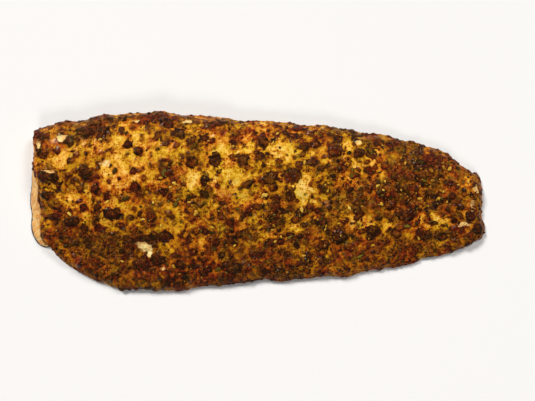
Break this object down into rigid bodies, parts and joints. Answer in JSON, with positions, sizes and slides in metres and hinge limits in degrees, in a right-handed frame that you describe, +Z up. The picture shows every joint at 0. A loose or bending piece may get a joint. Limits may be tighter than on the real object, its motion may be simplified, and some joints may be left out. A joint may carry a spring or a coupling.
{
  "type": "baked salmon side",
  "caption": "Whole baked side of salmon lying on its skin, with a browned, blistered golden glaze, chopped herbs and minced garlic.",
  "frame": {"origin": "centre of the side's box at the level of the skin face that it rests on", "axes": "+X from the cut behind the head to the trimmed tail, +Y from the thin belly to the thick back, +Z up through the glazed top"},
  "size_m": [0.4596, 0.1798, 0.0347],
  "materials": {
    "salmon": "oily golden brown glaze with dark blisters over pale pink cooked flesh, silver grey skin below"
  },
  "bodies": {
    "root": {"salmon_side": "salmon"}
  },
  "joints": []
}
